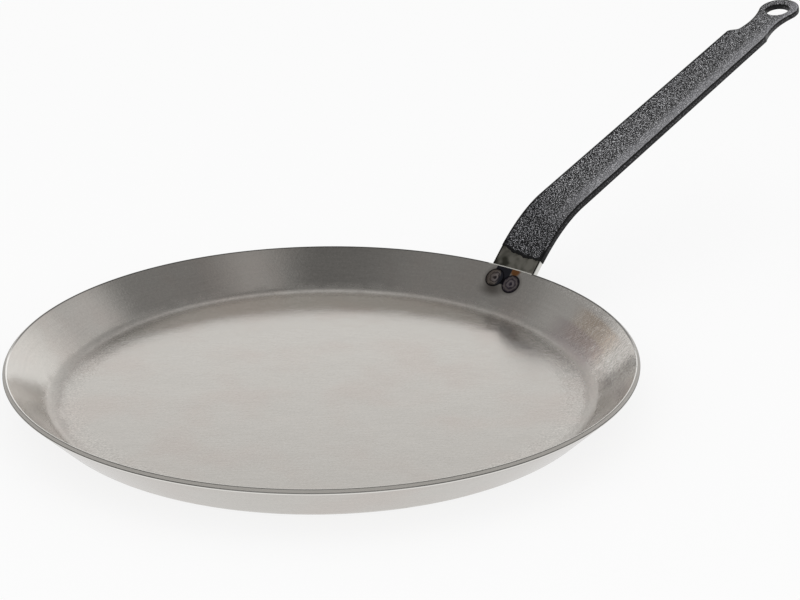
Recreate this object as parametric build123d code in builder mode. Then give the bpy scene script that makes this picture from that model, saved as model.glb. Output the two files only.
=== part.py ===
from build123d import *
from math import acos, asin, atan2, cos, radians, sin, sqrt, tan
import os

os.makedirs("parts", exist_ok=True)

# Crepe pan: a pressed steel dish with a dished steel strip handle spot-welded to its wall.
# Millimetres. The origin is the middle of the underside, +X runs out along the handle, +Z is up.

# Dish, pressed from one round blank
rim_diameter = 300.0
dish_height = 22.0
sheet_thickness = 2.5
wall_slope = 45.5           # degrees above the floor
floor_bend_radius = 8.0     # inside of the bend between floor and wall
rim_ease = 0.35             # the sheared rim's broken edges

# Handle, pressed from one blank of strip that narrows a little towards the eye
tang_width = 27.3
run_width = 26.5            # where the bend ends
shoulder_width = 25.8       # where the neck starts
strip_thickness = 3.0
strip_ease = 0.45           # the strip's broken edges
run_slope = 16.93           # degrees above the floor
run_dish = 2.3              # depth of the hollow along the run
handle_bend_radius = 90.0   # along the hollow of the top face
bend_start = 6.6            # up the slope from the rim to where the bend starts
run_length = 196.8          # from the end of the bend to the shoulders of the neck
tang_corner_radius = 5.0
seat_gap = 0.05             # between the wall and the tang, round the welds

# Neck and eye, in the flat end of the strip
hang_hole_diameter = 14.2
hang_hole_setback = 1.85    # from the middle of the eye back towards the dish
eye_rim = 4.8               # metal beside the hanging hole
eye_reach = 39.3            # from the shoulders to the middle of the eye
neck_radius = 48.5          # the hollow curve on each side of the neck
flatten_length = 9.5        # from the shoulders to where the strip is flat

# Baked epoxy skin on the handle
skin_thickness = 0.25
skin_edge_height = 8.3      # lowest point of its masked edge, up the slope from the rim
skin_edge_side = -6.5       # that point's offset from the handle's middle
skin_edge_radius = 52.0     # the masked edge is a shallow arc, hollow side up

# Spot welds, one on each side of the handle's middle
weld_mark_diameter = 10.0
weld_spacing = 1.3          # between the two marks
weld_side = 0.85            # middle of the pair from the handle's middle
weld_inset = 8.4            # middle of the pair down the wall from the rim
weld_skew = 1.4             # how much higher the left one sits
weld_margin = 3.9           # from the lower mark to the end of the tang
weld_core_diameter = 6.0
weld_mark_depth = 0.6       # thickness of metal that the electrode worked on each side
weld_mark_sink = 0.06       # how far its highest rings lie under the sheet's face
weld_ring_height = 0.22
weld_ring_shares = (0.36, 0.64)    # of the mark's radius, crest and groove by turns

cut_overrun = 5.0
bend_sections = 7
neck_sections = 5

# Places worked out from the sizes above
wall = radians(wall_slope)
run = radians(run_slope)
rim_radius = rim_diameter / 2
rim_inner_radius = rim_radius - sheet_thickness * sin(wall)
rim_outer_height = dish_height - sheet_thickness * cos(wall)
foot_outer_radius = rim_radius - rim_outer_height / tan(wall)
foot_inner_radius = rim_inner_radius - (dish_height - sheet_thickness) / tan(wall)
half_tang = tang_width / 2
half_run = run_width / 2
half_shoulder = shoulder_width / 2
eye_radius = hang_hole_diameter / 2 + eye_rim
mark_radius = weld_mark_diameter / 2
core_radius = weld_core_diameter / 2
tang_length = weld_inset + weld_skew / 2 + mark_radius + weld_margin
weld_half_pitch = mark_radius + weld_spacing / 2
weld_places = {
    # name: (side offset from the handle's middle, distance down the wall from the rim)
    "spot_weld_left": (weld_side + weld_half_pitch, weld_inset - weld_skew / 2),
    "spot_weld_right": (weld_side - weld_half_pitch, weld_inset + weld_skew / 2),
}

# The tang's hollow follows the wall, whose curve square to its slope is flattest at the rim.
wall_curve_radius = rim_radius / sin(wall)
tang_dish = wall_curve_radius - sqrt(wall_curve_radius**2 - half_tang**2)

# The strip's middle line, along the hollow of its top face
seat_x = rim_radius + seat_gap * sin(wall)
seat_z = rim_outer_height - seat_gap * cos(wall)
bend_x = seat_x + bend_start * cos(wall)
bend_z = seat_z + bend_start * sin(wall)
run_x = bend_x + handle_bend_radius * (sin(wall) - sin(run))
run_z = bend_z + handle_bend_radius * (cos(run) - cos(wall))
shoulder_x = run_x + run_length * cos(run)
shoulder_z = run_z + run_length * sin(run)

# The neck's side curve runs through the shoulder and meets the eye in a tangent: its middle is
# one neck radius from the shoulder, and one neck radius and one eye radius from the eye's middle.
shoulder_to_eye = sqrt(eye_reach**2 + half_shoulder**2)
neck_to_eye = neck_radius + eye_radius
far_square = neck_to_eye**2 + shoulder_to_eye**2 - neck_radius**2
neck_turn = acos(far_square / (2 * neck_to_eye * shoulder_to_eye))
neck_direction = atan2(half_shoulder, -eye_reach) - neck_turn
neck_middle_x = eye_reach + neck_to_eye * cos(neck_direction)
neck_middle_y = neck_to_eye * sin(neck_direction)


def across_plane(x, z, heading):
    """Plane square to the strip: its x runs across the strip, its y out of the top face."""
    return Plane(origin=(x, 0, z), x_dir=(0, 1, 0), z_dir=(cos(heading), 0, sin(heading)))


eye_plane = Plane(
    origin=(shoulder_x, 0, shoulder_z),
    x_dir=(cos(run), 0, sin(run)),
    z_dir=(-sin(run), 0, cos(run)),
)
tang_plane = Plane(origin=(seat_x, 0, seat_z), x_dir=(0, 1, 0), z_dir=(sin(wall), 0, -cos(wall)))


def eased(share):
    """A share from 0 to 1 that starts and ends level."""
    return share**2 * (3 - 2 * share)


def neck_half_width(along, grow):
    """Half of the neck's width at a distance from the shoulders."""
    radius = neck_radius - grow
    return neck_middle_y - sqrt(radius**2 - (along - neck_middle_x) ** 2)


def strip_section(plane, half_width, dish, grow):
    """Section of the strip, a shallow hollow with eased corners, grown by the skin's thickness."""
    curve = (half_width**2 + dish**2) / (2 * dish)
    tilt = asin(half_width / curve)
    low_x = half_width + strip_thickness * sin(tilt)
    low_y = dish - strip_thickness * cos(tilt)
    with BuildSketch(plane, mode=Mode.PRIVATE) as section:
        with BuildLine():
            ThreePointArc((-half_width, dish), (0, 0), (half_width, dish))
            Line((half_width, dish), (low_x, low_y))
            ThreePointArc((low_x, low_y), (0, -strip_thickness), (-low_x, low_y))
            Line((-low_x, low_y), (-half_width, dish))
        make_face()
        chamfer(section.vertices(), length=strip_ease)
        if grow:
            offset(amount=grow, kind=Kind.INTERSECTION)
    return section.sketch


def eye_plate(grow):
    """Flat end of the strip with the eye, the hanging hole and the end of the neck."""
    reach = eye_radius + grow
    start_y = neck_half_width(flatten_length, grow)
    start_angle = atan2(start_y - neck_middle_y, flatten_length - neck_middle_x)
    touch_angle = atan2(-neck_middle_y, eye_reach - neck_middle_x)
    middle_angle = (start_angle + touch_angle) / 2
    curve = neck_radius - grow
    neck_mid = (neck_middle_x + curve * cos(middle_angle), neck_middle_y + curve * sin(middle_angle))
    touch = (neck_middle_x + curve * cos(touch_angle), neck_middle_y + curve * sin(touch_angle))
    turn = atan2(touch[1], touch[0] - eye_reach) / 2
    eye_mid = (eye_reach + reach * cos(turn), reach * sin(turn))
    with BuildPart() as plate:
        with BuildSketch(eye_plane.offset(grow)):
            with BuildLine():
                ThreePointArc((flatten_length, start_y), neck_mid, touch)
                ThreePointArc(touch, eye_mid, (eye_reach + reach, 0))
                mirror(about=Plane.XZ)
                Line((flatten_length, -start_y), (flatten_length, start_y))
            make_face()
            with Locations((eye_reach - hang_hole_setback, 0)):
                Circle(hang_hole_diameter / 2 - grow, mode=Mode.SUBTRACT)
        extrude(amount=-(strip_thickness + 2 * grow))
        # A skin of even thickness widens a 45 degree chamfer by this much of its thickness.
        chamfer(plate.edges().filter_by(GeomType.CIRCLE), length=strip_ease + grow * (2 - sqrt(2)))
    return plate.part


def add_strip(plate, grow):
    """Adds the tang, bend, run, neck and eye to the part in hand, grown by the skin's thickness."""
    # Tang, whose end has round corners
    tang_section = strip_section(across_plane(bend_x, bend_z, wall), half_tang, tang_dish, grow)
    extrude(tang_section, amount=-(tang_length + bend_start))
    side = half_tang + grow
    top = bend_start + cut_overrun
    with BuildSketch(tang_plane, mode=Mode.PRIVATE) as tang_outline:
        with BuildLine():
            FilletPolyline(
                (side, top),
                (side, -tang_length),
                (-side, -tang_length),
                (-side, top),
                radius=tang_corner_radius,
            )
            Line((-side, top), (side, top))
        make_face()
    extrude(tang_outline.sketch, amount=strip_thickness + cut_overrun, both=True, mode=Mode.INTERSECT)
    # Bend, in which the hollow deepens and takes the strip in
    sections = []
    for index in range(bend_sections):
        share = index / (bend_sections - 1)
        heading = wall + (run - wall) * share
        x = bend_x + handle_bend_radius * (sin(wall) - sin(heading))
        z = bend_z + handle_bend_radius * (cos(heading) - cos(wall))
        dish = tang_dish + (run_dish - tang_dish) * eased(share)
        half = half_tang + (half_run - half_tang) * eased(share)
        sections.append(strip_section(across_plane(x, z, heading), half, dish, grow))
    loft(sections)
    # Straight run
    run_start = strip_section(across_plane(run_x, run_z, run), half_run, run_dish, grow)
    run_end = strip_section(across_plane(shoulder_x, shoulder_z, run), half_shoulder, run_dish, grow)
    loft([run_start, run_end])
    # Neck, in which the hollow flattens out
    sections = []
    for index in range(neck_sections):
        share = index / neck_sections
        along = flatten_length * share
        x = shoulder_x + along * cos(run)
        z = shoulder_z + along * sin(run)
        dish = run_dish * (1 - eased(share))
        sections.append(strip_section(across_plane(x, z, run), neck_half_width(along, 0), dish, grow))
    run_axis = Axis((0, 0, 0), (cos(run), 0, sin(run)))
    sections.append(plate.faces().sort_by(run_axis)[0])
    loft(sections)
    add(plate)


def weld_plane(side, inset):
    """Plane on the wall's inner face at a weld, facing into the dish."""
    radius = rim_inner_radius - inset * cos(wall)
    turn = asin(side / radius)
    height = dish_height - inset * sin(wall)
    return Plane(
        origin=(radius * cos(turn), radius * sin(turn), height),
        x_dir=(-sin(turn), cos(turn), 0),
        z_dir=(-sin(wall) * cos(turn), -sin(wall) * sin(turn), cos(wall)),
    )


def weld_profile(plane, rings):
    """Half section of a weld beside its axis: a worked disc on each face and the core between them."""
    stack = sheet_thickness + seat_gap + strip_thickness
    face = -weld_mark_sink if rings else cut_overrun
    back = -stack + weld_mark_sink if rings else -stack - cut_overrun
    crest = [(0, face)]
    if rings:
        for index, share in enumerate(weld_ring_shares):
            crest.append((mark_radius * share, face - weld_ring_height * (index % 2)))
    crest.append((mark_radius, face))
    section_plane = Plane(origin=plane.origin, x_dir=plane.x_dir, z_dir=-plane.y_dir)
    with BuildSketch(section_plane, mode=Mode.PRIVATE) as section:
        with BuildLine():
            Polyline(
                *crest,
                (mark_radius, -weld_mark_depth),
                (core_radius, -weld_mark_depth),
                (core_radius, -stack + weld_mark_depth),
                (mark_radius, -stack + weld_mark_depth),
                (mark_radius, back),
                (0, back),
                close=True,
            )
        make_face()
    return section.sketch


def cut_welds():
    """Takes the room of both welds out of the part in hand."""
    for side, inset in weld_places.values():
        place = weld_plane(side, inset)
        room = weld_profile(place, rings=False)
        revolve(room, axis=Axis(place.origin, place.z_dir), mode=Mode.SUBTRACT)


# Dish
with BuildPart() as pan_body:
    with BuildSketch(Plane.XZ) as profile:
        with BuildLine():
            FilletPolyline(
                (0, 0),
                (foot_outer_radius, 0),
                (rim_radius, rim_outer_height),
                radius=floor_bend_radius + sheet_thickness,
            )
            Line((rim_radius, rim_outer_height), (rim_inner_radius, dish_height))
            FilletPolyline(
                (rim_inner_radius, dish_height),
                (foot_inner_radius, sheet_thickness),
                (0, sheet_thickness),
                radius=floor_bend_radius,
            )
            Line((0, sheet_thickness), (0, 0))
        make_face()
        chamfer(profile.vertices().sort_by(Axis.Y)[-2:], length=rim_ease)
    revolve(axis=Axis.Z)
    cut_welds()

# Handle strip
strip_plate = eye_plate(0)
with BuildPart() as handle_strip:
    add_strip(strip_plate, 0)
    cut_welds()

# Epoxy skin, down to its masked edge above the rim
skin_plate = eye_plate(skin_thickness)
with BuildPart() as handle_coating:
    add_strip(skin_plate, skin_thickness)
    arc_middle = skin_edge_height + skin_edge_radius
    with BuildSketch(tang_plane):
        with Locations((0, arc_middle)):
            Rectangle(
                tang_width + 2 * cut_overrun,
                arc_middle + tang_length + cut_overrun,
                align=(Align.CENTER, Align.MAX),
            )
        with Locations((skin_edge_side, arc_middle)):
            Circle(skin_edge_radius, mode=Mode.SUBTRACT)
    extrude(amount=tang_length, both=True, mode=Mode.SUBTRACT)
    add(handle_strip.part, mode=Mode.SUBTRACT)

pan_body.part.label = "pan_body"
handle_strip.part.label = "handle_strip"
handle_coating.part.label = "handle_coating"
export_step(pan_body.part, "parts/pan_body.step")
export_step(handle_strip.part, "parts/handle_strip.step")
export_step(handle_coating.part, "parts/handle_coating.step")

# Spot welds
for name, (side, inset) in weld_places.items():
    place = weld_plane(side, inset)
    with BuildPart() as spot_weld:
        revolve(weld_profile(place, rings=True), axis=Axis(place.origin, place.z_dir))
    spot_weld.part.label = name
    export_step(spot_weld.part, f"parts/{name}.step")
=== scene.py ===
"""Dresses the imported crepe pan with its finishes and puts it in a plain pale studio.

Every size in a class below is in millimetres and degrees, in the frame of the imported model:
the origin is the middle of the underside, +X runs out along the handle and +Z is up.
Meshes are worked out as whole numpy arrays and written in metres.
"""
import logging
from dataclasses import dataclass
from enum import Enum
from functools import partial
from typing import Any, Callable, Iterable, Optional

import bmesh
import bpy
import numpy as np
from mathutils import Matrix, Vector


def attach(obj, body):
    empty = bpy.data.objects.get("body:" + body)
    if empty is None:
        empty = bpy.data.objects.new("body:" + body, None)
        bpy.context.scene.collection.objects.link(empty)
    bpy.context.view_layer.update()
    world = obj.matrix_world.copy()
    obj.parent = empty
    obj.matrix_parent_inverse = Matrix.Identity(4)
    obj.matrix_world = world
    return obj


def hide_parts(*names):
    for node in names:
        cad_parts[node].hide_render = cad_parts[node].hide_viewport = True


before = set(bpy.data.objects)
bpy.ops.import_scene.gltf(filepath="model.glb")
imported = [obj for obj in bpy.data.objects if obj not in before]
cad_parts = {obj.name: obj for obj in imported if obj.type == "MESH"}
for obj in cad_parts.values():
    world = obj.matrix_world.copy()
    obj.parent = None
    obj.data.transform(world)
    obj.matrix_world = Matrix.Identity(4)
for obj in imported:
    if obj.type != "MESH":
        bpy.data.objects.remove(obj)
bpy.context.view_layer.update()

MM = 0.001
MERGE_DISTANCE = 1e-7
SMOOTH = {"interpolation_type": "SMOOTHSTEP"}
LOG = logging.getLogger("crepe_pan")

AddNode = Callable[..., Any]
Grid = tuple[np.ndarray, np.ndarray, np.ndarray]
Colour = tuple[float, float, float, float]

# A fade starts and ends at its first two numbers. The next two are the shares there, or else 0 and 1.
Fade = tuple[float, ...]

# A ring or line: its middle, the distance up to which it is full, and the distance at which it ends.
Ring = tuple[float, float, float]

# The middle and the half sizes of a box or an oval.
Patch = tuple[tuple[float, float], tuple[float, float]]


class Slot(Enum):
    """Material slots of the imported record."""

    DISH = "raw_steel"
    STRIP = "strip_steel"
    COATING = "baked_epoxy"
    WELD = "weld_steel"


# Small tools


def linear_colour(code: str) -> Colour:
    """Turns an sRGB hex colour into linear light.

    Args:
        code: Colour such as "#C8C6C3".

    Returns:
        Red, green, blue and alpha in linear light.
    """
    srgb = np.array([int(code[i : i + 2], 16) for i in (1, 3, 5)]) / 255.0
    low = srgb / 12.92
    high = ((srgb + 0.055) / 1.055) ** 2.4
    red, green, blue = np.where(srgb <= 0.04045, low, high)
    return float(red), float(green), float(blue), 1.0


def add_node(
    tree: bpy.types.NodeTree,
    kind: str,
    *values: Any,
    named: Optional[dict[str, Any]] = None,
    **settings: Any,
) -> Any:
    """Adds one node with its settings and its links.

    Args:
        tree: Node tree that gets the node.
        kind: Blender's name of the node's type, without the leading "ShaderNode".
        values: Values or sockets for the inputs that its settings leave in use, in order.
        named: The same for other inputs, by name.
        settings: Properties of the node by name.

    Returns:
        The first output in use. Its node holds the others.
    """
    node = tree.nodes.new("ShaderNode" + kind)
    for name, value in settings.items():
        setattr(node, name, value)
    used = [socket for socket in node.inputs if socket.enabled]
    by_name = [(node.inputs[name], value) for name, value in (named or {}).items()]
    for socket, value in [*zip(used, values), *by_name]:
        if isinstance(value, bpy.types.NodeSocket):
            tree.links.new(value, socket)
        else:
            socket.default_value = value
    return next((socket for socket in node.outputs if socket.enabled), None)


def set_bands(ramp: bpy.types.Node, bands: list[tuple[float, Colour]]) -> None:
    """Sets the colour stops of a colour ramp.

    Args:
        ramp: The colour ramp's node.
        bands: Place from 0 to 1, and colour, of each stop.
    """
    elements = ramp.color_ramp.elements
    while len(elements) < len(bands):
        elements.new(1.0)
    for element, (spot, colour) in zip(elements, bands):
        element.position = spot
        element.color = colour


def eased(share: np.ndarray) -> np.ndarray:
    """A share from 0 to 1 that starts and ends level: three of its square less two of its cube."""
    share = np.clip(share, 0.0, 1.0)
    return share**2 * (3.0 - 2.0 * share)


def rounded_path(corners: np.ndarray, radii: np.ndarray, arc_points: int) -> np.ndarray:
    """Rounds the corners of an open path with arcs that touch both sides.

    At each corner the arc starts and ends radius over the tangent of half the corner's angle away,
    and its middle lies on the corner's bisector.

    Args:
        corners: Points of the path, one row each.
        radii: One radius for each inner corner.
        arc_points: Points on each arc.

    Returns:
        Points of the rounded path.
    """
    pieces = [corners[:1]]
    for before, corner, after, radius in zip(corners, corners[1:], corners[2:], radii):
        towards = (before - corner) / np.linalg.norm(before - corner)
        away = (after - corner) / np.linalg.norm(after - corner)
        half = np.arccos(np.clip(towards @ away, -1.0, 1.0)) / 2
        start = corner + towards * radius / np.tan(half)
        bisector = (towards + away) / np.linalg.norm(towards + away)
        middle = corner + bisector * radius / np.sin(half)
        across = (start - middle) / radius
        angle = np.linspace(0.0, np.pi - 2 * half, arc_points)[:, None]
        pieces.append(middle + radius * (np.cos(angle) * across - np.sin(angle) * towards))
    pieces.append(corners[-1:])
    return np.concatenate(pieces)


def densified(path: np.ndarray, step: float) -> np.ndarray:
    """Adds points to an open path, evenly between each two of them.

    Args:
        path: Points of the path, one row each.
        step: Longest run between two points.

    Returns:
        All points.
    """
    run = np.linalg.norm(np.diff(path, axis=0), axis=1)
    place = np.concatenate([[0.0], np.cumsum(run)])
    extra = np.concatenate(
        [np.linspace(a, b, int(np.ceil((b - a) / step)) + 1)[1:-1] for a, b in zip(place, place[1:])]
    )
    every = np.sort(np.concatenate([place, extra]))
    return np.stack([np.interp(every, place, column) for column in path.T], axis=1)


def grid_quads(rows: int, columns: int, loop_rows: bool, loop_columns: bool) -> np.ndarray:
    """Corner numbers of the quads of a grid whose points are numbered row by row.

    Args:
        rows: Rows of points.
        columns: Points in each row.
        loop_rows: Whether the last row joins the first.
        loop_columns: Whether the last column joins the first.

    Returns:
        Four corner numbers for each quad.
    """
    row = np.arange(rows if loop_rows else rows - 1)[:, None]
    column = np.arange(columns if loop_columns else columns - 1)[None, :]
    next_row = (row + 1) % rows
    next_column = (column + 1) % columns
    corners = (
        row * columns + column,
        next_row * columns + column,
        next_row * columns + next_column,
        row * columns + next_column,
    )
    return np.stack(corners, axis=-1).reshape(-1, 4)


def solid_mesh(name: str, grids: list[Grid], layer: str) -> bpy.types.Mesh:
    """Makes one closed, smooth mesh out of grids that meet along their edges.

    The points that grids share are merged, which also closes poles and seams, and the faces
    are turned so that they point outwards.

    Args:
        name: Name of the mesh.
        grids: Points in millimetres, quads, and two surface coordinates of each point, by grid.
        layer: Name of the UV map that holds the surface coordinates.

    Returns:
        The mesh, in metres.
    """
    points, quads, surface, count = [], [], [], 0
    for grid_points, grid_faces, grid_surface in grids:
        points.append(grid_points.reshape(-1, 3))
        surface.append(grid_surface.reshape(-1, 2))
        quads.append(grid_faces + count)
        count += len(points[-1])
    mesh = bpy.data.meshes.new(name)
    mesh.from_pydata(np.concatenate(points) * MM, [], np.concatenate(quads).tolist())
    corner = np.empty(len(mesh.loops), dtype=np.int32)
    mesh.loops.foreach_get("vertex_index", corner)
    mesh.uv_layers.new(name=layer).data.foreach_set("uv", np.concatenate(surface)[corner].ravel())
    shape = bmesh.new()
    shape.from_mesh(mesh)
    bmesh.ops.remove_doubles(shape, verts=shape.verts, dist=MERGE_DISTANCE)
    bmesh.ops.dissolve_degenerate(shape, edges=shape.edges, dist=MERGE_DISTANCE)
    bmesh.ops.recalc_face_normals(shape, faces=shape.faces)
    shape.to_mesh(mesh)
    shape.free()
    mesh.shade_smooth()
    return mesh


def add_piece(
    mesh: bpy.types.Mesh, nodes: tuple[str, ...], finish: bpy.types.Material
) -> bpy.types.Object:
    """Puts a finished mesh on the pan in place of its plain solids.

    Args:
        mesh: The piece's mesh; its name becomes the piece's name.
        nodes: Solids that the piece stands for.
        finish: Its material.

    Returns:
        The new object.
    """
    mesh.materials.append(finish)
    piece = bpy.data.objects.new(mesh.name, mesh)
    bpy.context.scene.collection.objects.link(piece)
    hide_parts(*nodes)
    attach(piece, "root")
    LOG.info("%s: %d faces, in place of %s", piece.name, len(mesh.polygons), ", ".join(nodes))
    return piece


# Shapes


@dataclass
class Dish:
    """The dish, pressed from one round sheet and turned here from one profile."""

    rim_diameter: float = 300.0
    height: float = 22.0
    sheet: float = 2.5
    wall_slope: float = 45.5
    floor_bend: float = 8.0
    rim_ease: float = 0.6
    segments: int = 720
    arc_points: int = 14
    longest_step: float = 6.0

    @property
    def slope(self) -> float:
        """The wall's slope in radians."""
        return np.radians(self.wall_slope)

    @property
    def rim_radius(self) -> float:
        """Radius of the rim's outer corner."""
        return self.rim_diameter / 2

    @property
    def rim_outer_height(self) -> float:
        """Height of the rim's outer corner."""
        return self.height - self.sheet * np.cos(self.slope)

    @property
    def rim_inner_radius(self) -> float:
        """Radius of the rim's inner corner."""
        return self.rim_radius - self.sheet * np.sin(self.slope)

    @property
    def rim_face_middle(self) -> float:
        """Way from the rim's inner corner to the middle of its sheared face, round the eased edge."""
        return self.rim_ease * np.pi / 4 + self.sheet / 2 - self.rim_ease

    def profile(self) -> np.ndarray:
        """Half section: straight lines from the middle of the underside out, up the wall, over the rim
        and back to the middle of the floor, with arcs at the corners.

        Returns:
            Radius and height of each point.
        """
        foot_outer = self.rim_radius - self.rim_outer_height / np.tan(self.slope)
        foot_inner = self.rim_inner_radius - (self.height - self.sheet) / np.tan(self.slope)
        corners = np.array(
            [
                (0.0, 0.0),
                (foot_outer, 0.0),
                (self.rim_radius, self.rim_outer_height),
                (self.rim_inner_radius, self.height),
                (foot_inner, self.sheet),
                (0.0, self.sheet),
            ]
        )
        radii = np.array([self.floor_bend + self.sheet, self.rim_ease, self.rim_ease, self.floor_bend])
        return densified(rounded_path(corners, radii, self.arc_points), self.longest_step)

    def wall_point(self, side: np.ndarray, down: np.ndarray, lift: np.ndarray) -> np.ndarray:
        """Places points on the wall's inner face.

        A point lies down the slope from the rim's inner corner, turned about the axis until its
        arc from the handle's line is side, and lifted square off the face.

        Args:
            side: Arc from the handle's line.
            down: Distance down the wall from the rim.
            lift: Height above the face.

        Returns:
            The points.
        """
        radius = self.rim_inner_radius - down * np.cos(self.slope) - lift * np.sin(self.slope)
        turn = side / (self.rim_inner_radius - down * np.cos(self.slope))
        height = self.height - down * np.sin(self.slope) + lift * np.cos(self.slope)
        return np.stack([radius * np.cos(turn), radius * np.sin(turn), height], axis=-1)

    def mesh(self) -> bpy.types.Mesh:
        """Turns the profile about the axis: each profile point's radius times the cosine and sine of
        the turn, at its own height.

        Returns:
            The mesh. Its UV map holds the way along the profile from the rim's inner corner, positive
            into the dish, and the turn.
        """
        profile = self.profile()
        turn = np.linspace(0.0, 2 * np.pi, self.segments, endpoint=False)
        radius, height = profile[:, :1], profile[:, 1:]
        points = np.stack([radius * np.cos(turn), radius * np.sin(turn), height + 0 * turn], axis=-1)
        way = np.concatenate([[0.0], np.cumsum(np.linalg.norm(np.diff(profile, axis=0), axis=1))])
        corner = np.argmin(np.hypot(radius - self.rim_inner_radius, height - self.height))
        surface = np.stack([(way - way[corner])[:, None] + 0 * turn, turn + 0 * radius], axis=-1)
        quads = grid_quads(len(profile), len(turn), False, True)
        return solid_mesh("pan_dish", [(points, quads, surface)], "way_in")


@dataclass
class Blank:
    """Outline of the handle's blank, laid flat: distance along it from the start of its bend, and
    distance to its left.

    Each outline point has a partner on the middle line or on the hanging hole. The surface between
    the two is ruled. The ease rounds the sheet's edge at each point.
    """

    outer: np.ndarray
    inner: np.ndarray
    ease: np.ndarray
    at_hole: np.ndarray


@dataclass
class Handle:
    """The strip handle: one flat blank that is dished, bent and covered with a skin."""

    dish: Dish
    tang_width: float = 27.3
    run_width: float = 26.5
    shoulder_width: float = 25.8
    thickness: float = 3.0
    edge_ease: float = 0.45
    run_slope: float = 16.93
    run_hollow: float = 2.3
    bend_radius: float = 90.0
    bend_start: float = 6.6
    run_length: float = 196.8
    tang_length: float = 18.0
    tang_corner: float = 5.0
    seat_gap: float = 0.05
    hole_diameter: float = 14.2
    hole_setback: float = 1.85
    eye_rim: float = 4.8
    eye_reach: float = 39.3
    neck_radius: float = 48.5
    flatten_length: float = 9.5
    skin: float = 0.25

    # Masked edge of the skin: its arc, and the height, rate and start of each wave on it
    skin_edge_height: float = 8.3
    skin_edge_side: float = -6.5
    skin_edge_radius: float = 52.0
    skin_edge_waves: tuple[tuple[float, float, float], ...] = (
        (0.28, 0.71, 0.6),
        (0.16, 1.63, 2.1),
        (0.09, 3.7, 0.0),
    )

    # Bead along the masked edge
    skin_bead: float = 0.22
    skin_bead_width: float = 0.9
    skin_bead_wave: float = 2.3
    skin_bead_swing: float = 0.25

    # Where the low end's fan starts, the first ray round the hole, and the points of each stretch
    fan_place: float = 11.0
    first_ray: float = 120.0
    masked_points: int = 60
    end_points: int = 9
    corner_points: int = 12
    fan_points: int = 7
    bend_points: int = 30
    run_points: int = 24
    neck_points: int = 12
    near_points: int = 26
    to_hole_points: int = 17
    hole_side_points: int = 11
    ray_points: int = 61
    neck_trace: int = 400
    eye_trace: int = 600
    face_points: int = 13
    face_crowding: float = 1.5
    ease_points: int = 6

    @property
    def run(self) -> float:
        """The run's slope in radians."""
        return np.radians(self.run_slope)

    @property
    def bend_length(self) -> float:
        """Length of the bend along the middle of the top face."""
        return self.bend_radius * (self.dish.slope - self.run)

    @property
    def shoulder(self) -> float:
        """Place of the neck's shoulders along the blank."""
        return self.bend_length + self.run_length

    @property
    def eye_radius(self) -> float:
        """Radius of the round eye."""
        return self.hole_diameter / 2 + self.eye_rim

    @property
    def neck_middle(self) -> np.ndarray:
        """Middle of the left neck curve, along from the shoulders and to the left.

        It is one neck radius from the shoulder, and one neck radius and one eye radius from the
        eye's middle.
        """
        half = self.shoulder_width / 2
        reach = np.hypot(self.eye_reach, half)
        far = self.neck_radius + self.eye_radius
        turn = np.arccos((far**2 + reach**2 - self.neck_radius**2) / (2 * far * reach))
        heading = np.arctan2(half, -self.eye_reach) - turn
        return np.array([self.eye_reach + far * np.cos(heading), far * np.sin(heading)])

    def neck_half_width(self, along: np.ndarray) -> np.ndarray:
        """Half of the neck's width at distances from the shoulders, on its circular side curve."""
        middle = self.neck_middle
        return middle[1] - np.sqrt(np.maximum(self.neck_radius**2 - (along - middle[0]) ** 2, 0.0))

    def half_width(self, along: np.ndarray) -> np.ndarray:
        """Half of the strip's width below the neck.

        It is eased from the tang's to the run's round the bend, and then narrows in a straight line
        to the shoulders'.

        Args:
            along: Distance from the start of the bend.

        Returns:
            The half widths.
        """
        round_bend = self.tang_width + (self.run_width - self.tang_width) * eased(along / self.bend_length)
        share = np.clip((along - self.bend_length) / self.run_length, 0.0, 1.0)
        return (round_bend + (self.shoulder_width - self.run_width) * share) / 2

    def place(self, along: np.ndarray, side: np.ndarray, lift: np.ndarray) -> np.ndarray:
        """Bends blank points into their place on the handle.

        The middle line is straight up the wall's slope, then an arc, then straight along the run.
        Square to it, the section is a shallow circular hollow: a point at a distance to the side
        stands the curvature times its square, over one and the root of one less the square of
        both, above the middle line, and is lifted along the hollow's own normal.

        Args:
            along: Distance from the start of the bend.
            side: Distance to the left.
            lift: Height above the top face.

        Returns:
            The points in the pan's frame.
        """
        slope = self.dish.slope
        bent = np.clip(along, 0.0, self.bend_length)
        heading = slope - bent / self.bend_radius
        before = self.bend_start + np.minimum(along, 0.0)
        beyond = np.maximum(along - self.bend_length, 0.0)
        x = self.dish.rim_radius + self.seat_gap * np.sin(slope) + before * np.cos(slope)
        x += self.bend_radius * (np.sin(slope) - np.sin(heading)) + beyond * np.cos(self.run)
        z = self.dish.rim_outer_height - self.seat_gap * np.cos(slope) + before * np.sin(slope)
        z += self.bend_radius * (np.cos(heading) - np.cos(slope)) + beyond * np.sin(self.run)
        wall_curve = self.dish.rim_radius / np.sin(slope)
        tang_hollow = wall_curve - np.sqrt(wall_curve**2 - (self.tang_width / 2) ** 2)
        hollow = tang_hollow + (self.run_hollow - tang_hollow) * eased(along / self.bend_length)
        past = along - self.shoulder
        hollow = hollow * (1.0 - eased(past / self.flatten_length))
        neck = self.neck_half_width(np.clip(past, 0.0, self.flatten_length))
        half = np.where(past > 0.0, neck, self.half_width(along))
        curvature = 2 * hollow / (half**2 + hollow**2)
        upright = np.sqrt(1.0 - (curvature * side) ** 2)
        stand = curvature * side**2 / (1.0 + upright)
        across = side - lift * curvature * side
        rise = stand + lift * upright
        return np.stack([x - rise * np.sin(heading), across, z + rise * np.cos(heading)], axis=-1)

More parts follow.
